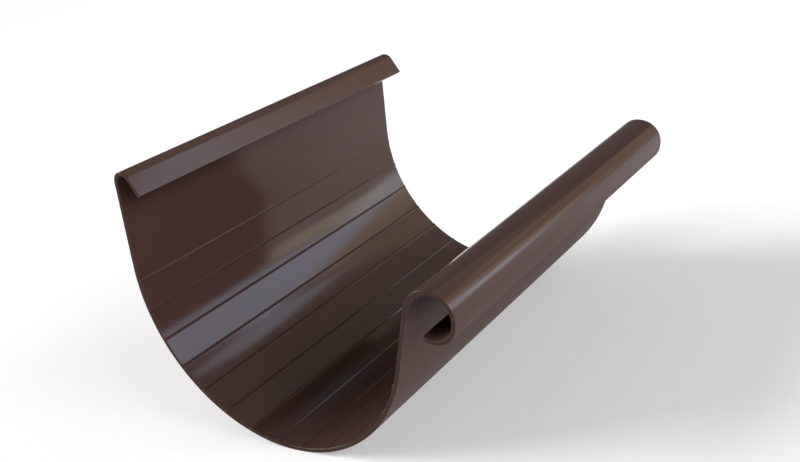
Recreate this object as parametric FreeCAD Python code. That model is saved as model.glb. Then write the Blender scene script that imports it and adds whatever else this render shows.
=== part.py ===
import FreeCAD, Part
import math
import os

# A short, straight-cut sample of a plastic eaves gutter, extruded as one piece. Its section is a
# strip of even wall: from the tip of the back lip it goes over the back hook, down the back wall,
# round the trough and up the front wall, and it ends in a hollow round bead. Small ribs run along
# the inside of the trough.
# Frame: +Y runs along the gutter, the bead is on the +X side and +Z is up. The piece lies on its
# trough, heavy side down, as it comes to rest. The origin is the middle of its footprint.

# Driving dimensions. Lengths are in millimetres and angles in degrees; the radius of a bend is
# taken on its outside.
length = 150.0
wall = 1.4
trough_radius = 54.9
wall_lean = 6.1             # both side walls spread outward from upright by this much
back_wall_run = 30.95       # straight stretch of the back wall
hook_radius = 4.1
lip_slope = 47.9            # the back lip falls inward this far below level
lip_run = 6.9
front_wall_run = 22.9       # straight stretch of the front wall
shoulder_radius = 8.8       # bend from the front wall into the top of the bead
bead_top_run = 0.4          # level stretch over the top of the bead
bead_radius = 7.8
bead_face_run = 0.8         # upright stretch at the front of the bead
bead_tuck = 22.0            # the bead's tip turns this far past its lowest point
rib_count = 14
rib_margin = 5.9            # from the last rib to the end of the trough's bend, on each side
rib_width = 0.9
rib_height = 0.4
rib_crest_radius = 0.1
rib_root = 0.3              # depth of each rib's foot inside the wall

# Headings inside the functions are in radians, counted from +X towards +Z.
QUARTER_TURN = math.pi / 2


def point(across, up):
    return FreeCAD.Vector(across, 0, up)


def ahead(heading):
    """Unit vector along a heading."""
    return point(math.cos(heading), math.sin(heading))


def segment(start, end):
    return Part.LineSegment(start, end).toShape()


def straight(start, heading, run):
    """Both faces of a straight stretch that starts on the strip's middle line."""
    along = ahead(heading) * run
    half_wall = ahead(heading + QUARTER_TURN) * (wall / 2)
    faces = [segment(start + side, start + side + along) for side in (half_wall, -half_wall)]
    return faces, start + along, heading


def bend(start, heading, outside_radius, turn):
    """Both faces of a bend that starts on the middle line; a positive turn goes left."""
    to_centre = math.copysign(QUARTER_TURN, turn)
    middle_radius = outside_radius - wall / 2
    centre = start + ahead(heading + to_centre) * middle_radius
    spokes = [ahead(heading - to_centre + turned) for turned in (0, turn / 2, turn)]
    faces = []
    for radius in (outside_radius, outside_radius - wall):
        faces.append(Part.Arc(*[centre + spoke * radius for spoke in spokes]).toShape())
    return faces, centre + spokes[-1] * middle_radius, heading + turn


def square_end(end, heading):
    half_wall = ahead(heading + QUARTER_TURN) * (wall / 2)
    return segment(end - half_wall, end + half_wall)


def follow(start, heading, stretches):
    """Edges of the strip along a list of stretches, closed by a square cut at the far end."""
    edges = []
    for stretch, *sizes in stretches:
        faces, start, heading = stretch(start, heading, *sizes)
        edges += faces
    return edges + [square_end(start, heading)]


def strip():
    """The gutter's wall as one face, with the trough's axis at the origin."""
    up_front_wall = QUARTER_TURN - math.radians(wall_lean)
    down_back_wall = -up_front_wall
    up_back_wall = math.pi - up_front_wall
    trough_start = ahead(up_back_wall + QUARTER_TURN) * (trough_radius - wall / 2)
    up_the_back = [
        (straight, back_wall_run),
        (bend, hook_radius, -(up_back_wall + math.radians(lip_slope))),
        (straight, lip_run),
    ]
    round_to_the_bead = [
        (bend, trough_radius, up_front_wall - down_back_wall),
        (straight, front_wall_run),
        (bend, shoulder_radius, -up_front_wall),
        (straight, bead_top_run),
        (bend, bead_radius, -QUARTER_TURN),
        (straight, bead_face_run),
        (bend, bead_radius, -(QUARTER_TURN + math.radians(bead_tuck))),
    ]
    edges = follow(trough_start, up_back_wall, up_the_back)
    edges += follow(trough_start, down_back_wall, round_to_the_bead)
    return Part.Face(Part.Wire(Part.__sortEdges__(edges)))


def rib(place):
    """One ridge on the inside of the trough; place is its angle from the trough's bottom."""
    half_width = rib_width / 2
    crest_centre = rib_height - rib_crest_radius
    reach = math.hypot(half_width, crest_centre)
    flank = math.atan2(crest_centre, half_width) + math.asin(rib_crest_radius / reach)
    crest = [point(0, crest_centre) + ahead(QUARTER_TURN + turned) * rib_crest_radius
             for turned in (flank, 0, -flank)]
    feet = [point(-half_width, 0), point(-half_width, -rib_root),
            point(half_width, -rib_root), point(half_width, 0)]
    outline = [Part.Arc(*crest).toShape()]
    outline += [segment(*ends) for ends in zip([crest[0]] + feet, feet + [crest[-1]])]
    ridge = Part.Face(Part.Wire(outline))
    ridge.translate(point(0, wall - trough_radius))
    ridge.rotate(point(0, 0), FreeCAD.Vector(0, -1, 0), math.degrees(place))
    return ridge


def ribs():
    span = 2 * (QUARTER_TURN - math.radians(wall_lean + rib_margin))
    pitch = span / (rib_count - 1)
    return [rib(number * pitch - span / 2) for number in range(rib_count)]


def at_rest(gutter):
    """Turns the gutter about the trough's axis until its weight hangs straight below it, and
    sets it down on the floor."""
    balance = gutter.CenterOfMass
    roll = math.atan2(balance.x, -balance.z)
    gutter.rotate(point(0, 0), FreeCAD.Vector(0, 1, 0), math.degrees(roll))
    box = gutter.optimalBoundingBox(False)
    gutter.translate(FreeCAD.Vector(-box.Center.x, -box.Center.y, -box.ZMin))
    return gutter


section = strip().fuse(ribs()).removeSplitter().Faces[0]
gutter_section = at_rest(section.extrude(FreeCAD.Vector(0, length, 0)))
os.makedirs("parts", exist_ok=True)
gutter_section.exportStep("parts/gutter_section.step")
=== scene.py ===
# %% [markdown]
# # A sample of plastic eaves gutter
#
# The real part is a short length of rain gutter. A factory pushes hot brown PVC through a steel die,
# so every slice across the gutter is the same, and a saw then cuts the sample off square.
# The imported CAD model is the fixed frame. This notebook repeats its sizes, takes the place on the
# floor from its box, builds a finer skin over it, dresses the skin in two finishes and sets up a
# small studio.

# %% Load the frame
import cmath
import math

import bmesh
import bpy
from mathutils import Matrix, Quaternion, Vector


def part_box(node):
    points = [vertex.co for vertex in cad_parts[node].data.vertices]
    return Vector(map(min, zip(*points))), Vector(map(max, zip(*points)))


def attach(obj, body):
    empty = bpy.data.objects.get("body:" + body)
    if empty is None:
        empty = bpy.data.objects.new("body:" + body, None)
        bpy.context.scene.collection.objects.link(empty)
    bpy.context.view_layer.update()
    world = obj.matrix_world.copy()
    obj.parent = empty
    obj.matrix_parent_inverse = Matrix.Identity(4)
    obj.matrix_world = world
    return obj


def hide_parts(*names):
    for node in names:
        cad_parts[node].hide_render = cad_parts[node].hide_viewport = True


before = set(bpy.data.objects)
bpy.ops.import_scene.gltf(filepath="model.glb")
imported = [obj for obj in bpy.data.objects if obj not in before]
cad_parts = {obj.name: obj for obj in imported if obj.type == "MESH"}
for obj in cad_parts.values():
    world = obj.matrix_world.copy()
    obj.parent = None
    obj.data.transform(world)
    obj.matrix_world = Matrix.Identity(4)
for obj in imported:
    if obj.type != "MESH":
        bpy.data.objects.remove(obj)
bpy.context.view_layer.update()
low_corner, high_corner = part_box("gutter_section")
MM = 0.001
print("CAD box in mm:", [round(size / MM, 2) for size in high_corner - low_corner])

# %% [markdown]
# ## The line through the middle of the wall
#
# The wall is an even strip, bent like a paper clip: lip, hook, back wall, trough, front wall and
# the hollow bead. A traced outline would need hundreds of points and would never be quite smooth.
# We walk along the middle of the strip instead, with a handful of sizes: go straight this far,
# bend this much. Complex numbers are handy for a walk in a plane, because a run in any direction is
# one cmath.rect, and a turn is one multiplication.

# %% Sizes of the section
LENGTH = 150.0 * MM
WALL = 1.4 * MM
HOOK_RADIUS = 4.1 * MM          # radii are taken on the outside of each bend
TROUGH_RADIUS = 54.9 * MM
SHOULDER_RADIUS = 8.8 * MM
BEAD_RADIUS = 7.8 * MM
LIP_RUN = 6.9 * MM
BACK_WALL_RUN = 30.95 * MM
FRONT_WALL_RUN = 22.9 * MM
BEAD_TOP_RUN = 0.4 * MM
BEAD_FACE_RUN = 0.8 * MM
WALL_LEAN = math.radians(6.1)   # both walls spread outward from upright
LIP_SLOPE = math.radians(47.9)
BEAD_TUCK = math.radians(22.0)
QUARTER_TURN = math.pi / 2
FINE_STEP = math.radians(4.0)   # one facet of a small bend


# %% Two ways to walk
def straight(start, heading, run, parts=1):
    """Stops along a straight stretch: place, heading and extra wall."""
    return [(start + cmath.rect(run * part / parts, heading), heading, 0)
            for part in range(1, parts + 1)]


def centre_of(start, heading, outside_radius, turn):
    return start + cmath.rect(outside_radius - WALL / 2, heading + math.copysign(QUARTER_TURN, turn))


def bend(start, heading, outside_radius, turn, stops=None):
    """The same round a bend; a positive turn goes left."""
    centre = centre_of(start, heading, outside_radius, turn)
    if stops is None:
        facets = math.ceil(abs(turn) / FINE_STEP)
        stops = [(turn * facet / facets, 0) for facet in range(1, facets + 1)]
    return [(centre + (start - centre) * cmath.rect(1, angle), heading + angle, extra)
            for angle, extra in stops]


# %% [markdown]
# ## Ribs on the inside of the trough
#
# Fourteen fine ridges run along the trough. The die cuts them as small triangles, but hot plastic
# never keeps a sharp corner, so the crest and both feet are softly rounded. A bump map would show
# no ridge at the sawn ends, so these are real geometry: the wall just gets a little thicker there.
# Points crowd together where the profile turns and stay away where it is flat.

# %% The profile of one rib
RIB_COUNT = 14
RIB_PITCH = math.radians(12.0)
RIB_SLOPE = 0.977               # rise over run of a flank
RIB_PEAK = 0.44 * MM            # where the flanks would meet if the crest were sharp
CREST_SOFTNESS = 0.041 * MM
FOOT_SOFTNESS = 0.03 * MM
RIB_STOPS = [0, 0.03, 0.07, 0.13, 0.34, 0.4, 0.45, 0.5, 0.57, 0.66]


def rib_height(aside):
    """Extra wall at a distance to one side of a rib's crest."""
    flank = RIB_PEAK - RIB_SLOPE * math.hypot(aside, CREST_SOFTNESS)
    return (flank + math.hypot(flank, FOOT_SOFTNESS)) / 2


half_profile = [stop * MM for stop in RIB_STOPS]
rib_profile = [-stop for stop in reversed(half_profile[1:])] + half_profile
print("rib:", round(rib_height(0) / MM, 3), "mm high, from", len(rib_profile), "points")

# %% Stops round the trough
FACETS_BETWEEN_RIBS = 7
trough_turn = 2 * (QUARTER_TURN - WALL_LEAN)
inner_radius = TROUGH_RADIUS - WALL
rib_reach = rib_profile[-1] / inner_radius
rib_angles = [trough_turn / 2 + (number - (RIB_COUNT - 1) / 2) * RIB_PITCH
              for number in range(RIB_COUNT)]
trough_stops = [(trough_turn, 0)]
trough_stops += [(angle + aside / inner_radius, rib_height(aside))
                 for angle in rib_angles for aside in rib_profile]
bays = zip([0] + [angle + rib_reach for angle in rib_angles],
           [angle - rib_reach for angle in rib_angles] + [trough_turn])
trough_stops += [(start + (end - start) * part / FACETS_BETWEEN_RIBS, 0)
                 for start, end in bays for part in range(1, FACETS_BETWEEN_RIBS)]
trough_stops.sort()
print("stops round the trough:", len(trough_stops))

# %% The whole walk, from the tip of the lip to the tip of the bead
hook_turn = QUARTER_TURN + WALL_LEAN + LIP_SLOPE
stretches = [
    (straight, LIP_RUN, 3),
    (bend, HOOK_RADIUS, hook_turn),
    (straight, BACK_WALL_RUN, 6),
    (bend, TROUGH_RADIUS, trough_turn, trough_stops),
    (straight, FRONT_WALL_RUN, 5),
    (bend, SHOULDER_RADIUS, WALL_LEAN - QUARTER_TURN),
    (straight, BEAD_TOP_RUN),
    (bend, BEAD_RADIUS, -QUARTER_TURN),
    (straight, BEAD_FACE_RUN),
    (bend, BEAD_RADIUS, -QUARTER_TURN - BEAD_TUCK),
]
stops = [(0j, math.pi - LIP_SLOPE, 0)]
for stretch, *sizes in stretches:
    start, heading = stops[-1][:2]
    if sizes[0] == TROUGH_RADIUS:
        trough_axis = centre_of(start, heading, *sizes[:2])
    stops += stretch(start, heading, *sizes)
stops = [(place - trough_axis, heading, extra) for place, heading, extra in stops]
print("stops along the strip:", len(stops))

# %% [markdown]
# ## From the walk to a ring of points
#
# Each stop gives one point on the inner face and one on the outer face of the wall. Together they
# close into a ring round the section. A saw and a scraper leave every cut edge very slightly
# round, and that thin round catches the light, so the rings near an end and the stops near a tip
# draw in a little. We could leave that to a Bevel modifier, but beside the fine ribs it would
# choke on the short edges.

# %% Rings
EDGE_ROUND = 0.14 * MM
HALFWAY = EDGE_ROUND * 0.293    # a quarter round is this far from both faces at its middle
ROUNDING = [(EDGE_ROUND, 0), (HALFWAY, HALFWAY), (0, EDGE_ROUND)]


def rounded_tip(stop, backward):
    """The stops that end the strip: place, heading, inner and outer reach, and a push to draw in."""
    place, heading = stop[:2]
    return [(place + cmath.rect(back, heading) * backward, heading,
             WALL / 2 - inset, WALL / 2 - inset, backward) for inset, back in ROUNDING]


strip = rounded_tip(stops[0], 1)
strip += [(place, heading, WALL / 2 + extra, WALL / 2, 0) for place, heading, extra in stops[1:-1]]
strip += rounded_tip(stops[-1], -1)[::-1]


def ring(inset=0):
    """Points of the inner face from the lip to the bead, then of the outer face back again."""
    inner, outer = [], []
    for place, heading, inside, outside, push in strip:
        drawn = place + cmath.rect(inset * push, heading)
        inner.append(drawn + cmath.rect(inside - inset, heading + QUARTER_TURN))
        outer.append(drawn - cmath.rect(outside - inset, heading + QUARTER_TURN))
    return inner + outer[::-1]


print("points in a ring:", len(ring()))

# %% [markdown]
# ## Lying at rest
#
# Put down on a floor, the gutter rolls on its round trough until its weight hangs straight below
# the trough's axis. The shoelace formula gives the centre of the section's area, and so the roll.
# The CAD box then says where the piece stands.


# %% Find the roll
def centre_of_area(points):
    """Shoelace formula for a closed ring of complex points."""
    area = moment = 0
    for here, there in zip(points, points[1:] + points[:1]):
        cross = (here.conjugate() * there).imag
        area += cross / 2
        moment += (here + there) * cross / 6
    return moment / area


balance = centre_of_area(ring())
roll = cmath.rect(1, -QUARTER_TURN - cmath.phase(balance))
turned = [point * roll for point in ring()]
across = [point.real for point in turned]
up = [point.imag for point in turned]
shift = complex((low_corner.x + high_corner.x - min(across) - max(across)) / 2,
                low_corner.z - min(up))
print("roll in degrees:", round(math.degrees(cmath.phase(roll)), 2))
print("trough axis in mm:", round(shift.real / MM, 3), round(shift.imag / MM, 3))

# %% [markdown]
# ## A skin over the rings
#
# Rings across the gutter, joined by long faces, make the whole shell. An array or a curve with a
# profile would do that too, but with bmesh we also say what each point is like. We take it that the
# outside lost some of its gloss where it slid through the cooling sizer, and that the open inside
# did not. It fades out up the back wall and over the top of the bead. That share of rubbing is
# stored on the points, from 0 to 1, for the material to read. The two ends are closed by faces
# across the wall, which get a material of their own.


# %% Rings along the length
BEAD_FACE_RUBBED = 0.7          # share at the bead's upright face; it grows by 1 in a radian of bend
STRAIGHT_DOWN = 3 * QUARTER_TURN


def share(value):
    """Keeps a value between 0 and 1."""
    return min(1, max(0, value))


def rubbed(place, heading):
    """How far the sizer rubbed the inner and the outer face of the wall at a stop. Round the bead
    the strip bends the other way, so there its inner face is the one that shows."""
    if place.real < 0:
        return 0, share(1 - place.imag / BACK_WALL_RUN)
    return share(BEAD_FACE_RUBBED + STRAIGHT_DOWN - heading), 1


worn = [rubbed(*stop[:2]) for stop in strip]
wear = [inner for inner, outer in worn] + [outer for inner, outer in reversed(worn)]
SPANS = 12
slices = [(-LENGTH / 2 + back, inset) for inset, back in ROUNDING]
slices += [(-LENGTH / 2 + LENGTH * span / SPANS, 0) for span in range(1, SPANS)]
slices += [(LENGTH / 2 - back, inset) for inset, back in reversed(ROUNDING)]
print("rings:", len(slices), " points rubbed to satin:", wear.count(1))

# %% Skin the rings
skin = bmesh.new()
rubbed_layer = skin.verts.layers.float.new("rubbed")
rings = []
for y, inset in slices:
    placed = [point * roll + shift for point in ring(inset)]
    rings.append([skin.verts.new((point.real, y, point.imag)) for point in placed])
    for corner, rub in zip(rings[-1], wear):
        corner[rubbed_layer] = rub
count = len(rings[0])
for near, far in zip(rings, rings[1:]):
    for here in range(count):
        there = (here + 1) % count
        skin.faces.new((near[here], near[there], far[there], far[here]))
for end in (rings[0], rings[-1]):
    for here in range(count // 2 - 1):
        across_wall = end[here], end[here + 1], end[count - 2 - here], end[count - 1 - here]
        face = skin.faces.new(across_wall)
        face.material_index = 1
bmesh.ops.recalc_face_normals(skin, faces=skin.faces)
for face in skin.faces:
    face.smooth = True
mesh = bpy.data.meshes.new("gutter_skin")
skin.to_mesh(mesh)
print("faces:", len(mesh.polygons), " volume in cm3:", round(skin.calc_volume() * 1e6, 3))
skin.free()

# %% Put the gutter in its place
gutter = bpy.data.objects.new("gutter_skin", mesh)
bpy.context.scene.collection.objects.link(gutter)
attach(gutter, "root")
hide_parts("gutter_section")

weighted = gutter.modifiers.new("big faces lead", "WEIGHTED_NORMAL")
weighted.mode = "FACE_AREA"

# %% [markdown]
# ## The brown plastic
#
# The colour goes right through the PVC, and the die leaves the skin glossy. Gloss alone would look
# like a computer's plastic, so faint things break it up: die lines that run the whole length, a
# fine grain, and patches where the brown or the gloss is a little different. Noise in object space
# makes all of it, stretched along the gutter for the die lines and the patches and left round for
# the grain. Where the skin is rubbed, the roughness goes up and the gloss becomes satin. Real PVC
# has an index of refraction of about 1.53. A lower one is used here for its looks: it keeps the
# mirrored floor and room weaker.


# %% Helpers for materials
def new_material(name, kind="ShaderNodeBsdfPrincipled"):
    """A material with one shader, joined to its output."""
    material = bpy.data.materials.new(name)
    material.use_nodes = True
    material.node_tree.nodes.clear()
    shader = add_node(material, kind)
    output = add_node(material, "ShaderNodeOutputMaterial")
    join(material, shader.outputs[0], output.inputs["Surface"])
    return material, shader


def add_node(material, kind, values=None, **settings):
    """A new node: settings are its own properties, values go on its sockets."""
    node = material.node_tree.nodes.new(kind)
    for name, value in settings.items():
        setattr(node, name, value)
    for socket, value in (values or {}).items():
        node.inputs[socket].default_value = value
    return node


def join(material, source, target):
    material.node_tree.links.new(source, target)


def noise(material, blotch, detail=2.0, slant=0.0, distortion=0.0):
    """Noise in object space. Blotch is the size of its patches along x, y and z in millimetres,
    and slant turns them about y."""
    place = add_node(material, "ShaderNodeTexCoord")
    squeeze = add_node(material, "ShaderNodeMapping",
                       {"Scale": [1 / (size * MM) for size in blotch], "Rotation": (0, slant, 0)})
    texture = add_node(material, "ShaderNodeTexNoise",
                       {"Scale": 1.0, "Detail": detail, "Distortion": distortion})
    join(material, place.outputs["Object"], squeeze.inputs["Vector"])
    join(material, squeeze.outputs["Vector"], texture.inputs["Vector"])
    return texture.outputs["Fac"]


NOISE_LOW, NOISE_HIGH = 0.3, 0.7    # most of a noise lies between these


def remap(material, source, low, high):
    """Turns a noise into values from low to high."""
    ranged = add_node(material, "ShaderNodeMapRange", {"From Min": NOISE_LOW, "From Max": NOISE_HIGH,
                                                       "To Min": low, "To Max": high})
    join(material, source, ranged.inputs["Value"])
    return ranged.outputs["Result"]


def bump(material, source, depth, under=None):
    """A bump of so many millimetres from low to high, on top of the bump under it."""
    relief = add_node(material, "ShaderNodeBump", {"Strength": 1.0, "Distance": depth * MM})
    join(material, source, relief.inputs["Height"])
    if under is not None:
        join(material, under, relief.inputs["Normal"])
    return relief.outputs["Normal"]


def two_tone(material, source, low, high):
    """A colour that goes from low to high with a value from 0 to 1."""
    # The node has sockets for each kind of data under the same names: 6, 7 and 2 are the colours.
    mix = add_node(material, "ShaderNodeMix", {6: (*low, 1), 7: (*high, 1)}, data_type="RGBA")
    join(material, source, mix.inputs["Factor"])
    return mix.outputs[2]


# %% Extruded skin
PLASTIC_IOR = 1.34
DARK_BROWN, LIGHT_BROWN = (0.0610, 0.0296, 0.0250), (0.0665, 0.0324, 0.0274)
GLOSSIEST, LEAST_GLOSSY = 0.11, 0.14    # roughness where nothing rubbed
SATIN = 0.42                            # roughness that full rubbing adds
plastic, skin_shader = new_material("brown_plastic")
skin_shader.inputs["IOR"].default_value = PLASTIC_IOR

tone = remap(plastic, noise(plastic, (9, 50, 9)), 0.0, 1.0)
join(plastic, two_tone(plastic, tone, DARK_BROWN, LIGHT_BROWN), skin_shader.inputs["Base Color"])

gloss = remap(plastic, noise(plastic, (6, 20, 6)), GLOSSIEST, LEAST_GLOSSY)
rubbing = add_node(plastic, "ShaderNodeAttribute", attribute_name="rubbed")
duller = add_node(plastic, "ShaderNodeMath", {1: SATIN}, operation="MULTIPLY_ADD")
join(plastic, rubbing.outputs["Fac"], duller.inputs[0])
join(plastic, gloss, duller.inputs[2])
join(plastic, duller.outputs["Value"], skin_shader.inputs["Roughness"])

DIE_LINE_DEPTH = 0.003
GRAIN_DEPTH = 0.005
die_lines = bump(plastic, noise(plastic, (0.9, 120, 0.9), 3.0), DIE_LINE_DEPTH)
grain = bump(plastic, noise(plastic, (0.4, 0.4, 0.4), 1.0), GRAIN_DEPTH, die_lines)
join(plastic, grain, skin_shader.inputs["Normal"])
print("brown plastic:", len(plastic.node_tree.nodes), "nodes")

# %% [markdown]
# ## The sawn ends
#
# A saw leaves no gloss, so the cut face is matte and it mirrors less. Its brown is painted a little
# darker than the skin's, though it is the same PVC right through: that is painted shade. The teeth
# leave fine parallel marks. The cut is only as wide as the wall, so we draw the marks as noise
# stretched far along one slanting direction rather than as modelled grooves.

# %% Sawn face
SAW_SLANT = math.radians(28)
SAW_MARK_DEPTH = 0.012
SAWN_SHEEN = 0.2                # 0.5 would be the full reflection of the plastic
# The cut's two browns are painted shade: the same PVC as the skin, painted darker.
SHADED_DARK_CUT, SHADED_LIGHT_CUT = (0.047, 0.0235, 0.0190), (0.054, 0.0275, 0.0225)
SMOOTHEST_CUT, ROUGHEST_CUT = 0.7, 0.8
sawn, sawn_shader = new_material("sawn_plastic")
sawn_shader.inputs["IOR"].default_value = PLASTIC_IOR
sawn_shader.inputs["Specular IOR Level"].default_value = SAWN_SHEEN
marks = noise(sawn, (0.4, 0.4, 9), slant=SAW_SLANT, distortion=0.3)
torn = remap(sawn, marks, 0.0, 1.0)
join(sawn, two_tone(sawn, torn, SHADED_DARK_CUT, SHADED_LIGHT_CUT), sawn_shader.inputs["Base Color"])
join(sawn, remap(sawn, marks, SMOOTHEST_CUT, ROUGHEST_CUT), sawn_shader.inputs["Roughness"])
join(sawn, bump(sawn, marks, SAW_MARK_DEPTH), sawn_shader.inputs["Normal"])
mesh.materials.append(plastic)
mesh.materials.append(sawn)
print("sawn plastic:", len(sawn.node_tree.nodes), "nodes")

# %% [markdown]
# ## The camera
#
# The view looks down along the gutter from the bead's side. The gutter lies rolled on its trough
# and is seen as if it stood upright, so the camera is rolled by nearly the same angle. Its lens is
# given as a focal length over the usual 36 mm sensor.

# %% Camera
lens = bpy.data.cameras.new("camera")
lens.sensor_width = 36.0
lens.lens = 43.456
CAMERA_ROLL = math.radians(-13.71)
looking = Vector((-0.60231, 0.73209, -0.31821))
camera = bpy.data.objects.new("camera", lens)
camera.location = (0.206203, -0.260154, 0.159516)
camera.rotation_mode = "QUATERNION"
camera.rotation_quaternion = looking.to_track_quat("-Z", "Y") @ Quaternion((0, 0, 1), CAMERA_ROLL)
bpy.context.scene.collection.objects.link(camera)
bpy.context.scene.camera = camera
print("camera stands", round(camera.location.length / MM), "mm from the middle of the footprint")

# %% [markdown]
# ## Floor and room
#
# The floor is a wide sheet of white paint. The lamps bring it nearly to white, and a small glow
# does the rest. Only what the camera, a reflection or a clear material sees gets that glow. The
# gutter's gloss mirrors it, but it casts no light on its brown, and the shadow stays. The room is a
# plain grey, because a bright room would be mirrored all over the dark plastic and wash it out.

# %% White floor
FLOOR_PAINT = 0.8
FLOOR_GLOW = 0.26
REACH = 100.0                   # metres to each side, so that its edge is never near
floor_mesh = bpy.data.meshes.new("floor")
corners = [(-REACH, -REACH, 0), (REACH, -REACH, 0), (REACH, REACH, 0), (-REACH, REACH, 0)]
floor_mesh.from_pydata(corners, [], [(0, 1, 2, 3)])
floor = bpy.data.objects.new("floor", floor_mesh)
bpy.context.scene.collection.objects.link(floor)

paint, both = new_material("floor_paint", "ShaderNodeAddShader")
matte = add_node(paint, "ShaderNodeBsdfDiffuse", {"Color": (FLOOR_PAINT,) * 3 + (1,)})
glow = add_node(paint, "ShaderNodeEmission")
seen_by = add_node(paint, "ShaderNodeLightPath")
mirrored = add_node(paint, "ShaderNodeMath", operation="MAXIMUM")
seen = add_node(paint, "ShaderNodeMath", operation="MAXIMUM")
strength = add_node(paint, "ShaderNodeMath", {1: FLOOR_GLOW}, operation="MULTIPLY")
join(paint, seen_by.outputs["Is Glossy Ray"], mirrored.inputs[0])
join(paint, seen_by.outputs["Is Transmission Ray"], mirrored.inputs[1])
join(paint, seen_by.outputs["Is Camera Ray"], seen.inputs[0])
join(paint, mirrored.outputs["Value"], seen.inputs[1])
join(paint, seen.outputs["Value"], strength.inputs[0])
join(paint, strength.outputs["Value"], glow.inputs["Strength"])
join(paint, matte.outputs["BSDF"], both.inputs[0])
join(paint, glow.outputs["Emission"], both.inputs[1])
floor_mesh.materials.append(paint)

# %% Grey room
ROOM_GREY = 0.16                # 1 is as bright as white paper
room = bpy.data.worlds.new("grey_room")
room.use_nodes = True
walls = room.node_tree.nodes["Background"]
walls.inputs["Color"].default_value = (1, 1, 1, 1)
walls.inputs["Strength"].default_value = ROOM_GREY
bpy.context.scene.world = room
bpy.context.scene.view_settings.view_transform = "Standard"

# %% [markdown]
# ## Light
#
# Two broad suns give most of the plain level: one from the left does most for the floor and throws
# the soft shadow, one from the right fills the outside of the front wall. Glossy plastic is mostly
# judged by what it mirrors, so the bright bands in the trough and the streak on the bead are
# reflections of rectangles of light: a cool window far to the right, and the warm walls and ceiling
# round it. Each softbox is given by its direction and by how large it looks from the gutter. They
# lean with the gutter, so that they stand square to it.


# %% Helpers for lamps
BOX_DISTANCE = 4.0
LEAN = Quaternion((0, 1, 0), -cmath.phase(roll))


def towards(direction):
    """A compass direction in degrees: from +Y towards +X, and up from the level."""
    azimuth, elevation = map(math.radians, direction)
    level = cmath.rect(math.cos(elevation), azimuth)
    return Vector((level.imag, level.real, math.sin(elevation)))


def hang(name, light, heading, distance=0.0, lean=Quaternion()):
    lamp = bpy.data.objects.new(name, light)
    lamp.location = lean @ heading * distance
    lamp.rotation_mode = "QUATERNION"
    lamp.rotation_quaternion = lean @ heading.to_track_quat("Z", "Y")
    bpy.context.scene.collection.objects.link(lamp)
    return lamp


def soft_sun(name, direction, spread, level):
    """A sun that looks spread degrees wide; level 1 shows a colour as it is written."""
    light = bpy.data.lights.new(name, "SUN")
    light.angle = math.radians(spread)
    light.energy = level * math.pi
    hang(name, light, towards(direction))


def softbox(name, direction, width, height, colour, brightness):
    """A rectangle of light that looks width by height degrees; 1 is as bright as white paper."""
    light = bpy.data.lights.new(name, "AREA")
    light.shape = "RECTANGLE"
    light.size, light.size_y = [2 * BOX_DISTANCE * math.tan(math.radians(side) / 2)
                                for side in (width, height)]
    light.color = colour
    light.energy = brightness * math.pi * light.size * light.size_y
    lamp = hang(name, light, towards(direction), BOX_DISTANCE, LEAN)
    lamp.visible_camera = False


# %% Lamps
soft_sun("left_sun", (-113, 26), 38, 1.25)
soft_sun("right_sun", (95, 20), 40, 0.55)
softbox("window", (46.5, 32), 19, 22, (0.66, 0.78, 1.0), 5.0)
softbox("window_head", (31, 45.5), 8, 9, (0.68, 0.79, 1.0), 3.5)
softbox("window_foot", (37.5, 16), 4.5, 12, (0.74, 0.87, 1.0), 4.5)
softbox("sill", (45, 16.5), 12, 7, (1.0, 0.92, 0.7), 3.4)
softbox("tan_wall", (32.5, 26), 6, 26, (1.0, 0.8, 0.48), 1.9)
softbox("tan_side", (20, 25), 18, 32, (1.0, 0.75, 0.42), 0.65)
softbox("side_wall", (66, 32), 12, 26, (1.0, 0.55, 0.4), 1.3)
softbox("ceiling", (-12, 50), 60, 26, (1.0, 0.84, 0.6), 0.4)
lamps = [thing for thing in bpy.data.objects if thing.type == "LIGHT"]
print("lamps:", len(lamps))
